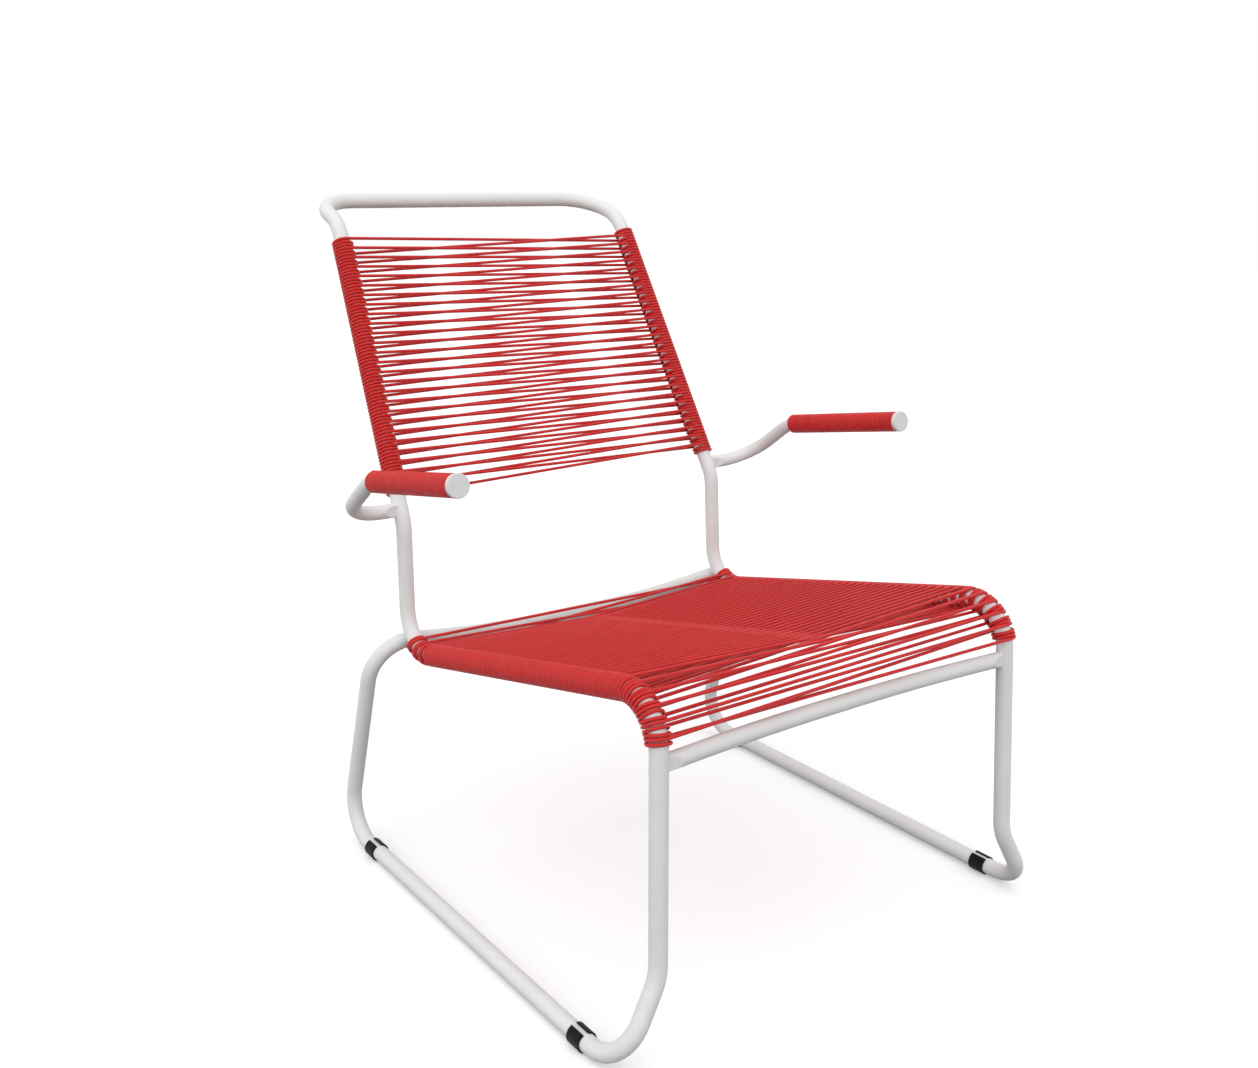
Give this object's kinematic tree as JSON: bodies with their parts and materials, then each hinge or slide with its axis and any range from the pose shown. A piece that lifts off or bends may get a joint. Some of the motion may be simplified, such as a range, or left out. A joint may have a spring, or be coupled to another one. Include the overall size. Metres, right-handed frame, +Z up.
{
  "type": "spaghetti lounge chair",
  "caption": "Low lounge chair with a bent steel tube sled frame, splayed runners, and a seat, back and arm grips laced with round plastic cord.",
  "frame": {"origin": "on the floor, midway across the chair's width and depth", "axes": "+Z up; the sitter faces -Y; +X is the sitter's left; the middle plane is X = 0"},
  "size_m": [0.6872, 0.8659, 0.8499],
  "materials": {
    "frame_paint": "smooth white powder coat, satin",
    "cord": "smooth red vinyl cord, soft sheen",
    "cap_plastic": "moulded pale plastic",
    "glide_plastic": "moulded black plastic",
    "pin_steel": "plain drawn steel, hidden"
  },
  "bodies": {
    "root": {"back_cord": "cord", "front_crossbar": "frame_paint", "left_arm_cord": "cord", "left_arm_end_cap": "cap_plastic", "left_arm_tube": "frame_paint", "left_back_seat_tube": "frame_paint", "left_base_tube": "frame_paint", "left_front_glide": "glide_plastic", "left_rear_bar_weld": "frame_paint", "left_rear_glide": "glide_plastic", "left_runner_pin": "pin_steel", "rear_bar_pin": "pin_steel", "right_arm_cord": "cord", "right_arm_end_cap": "cap_plastic", "right_arm_tube": "frame_paint", "right_back_seat_tube": "frame_paint", "right_base_tube": "frame_paint", "right_front_glide": "glide_plastic", "right_rear_bar_weld": "frame_paint", "right_rear_glide": "glide_plastic", "right_runner_pin": "pin_steel", "seat_cord": "cord", "top_bar_pin": "pin_steel"}
  },
  "joints": []
}
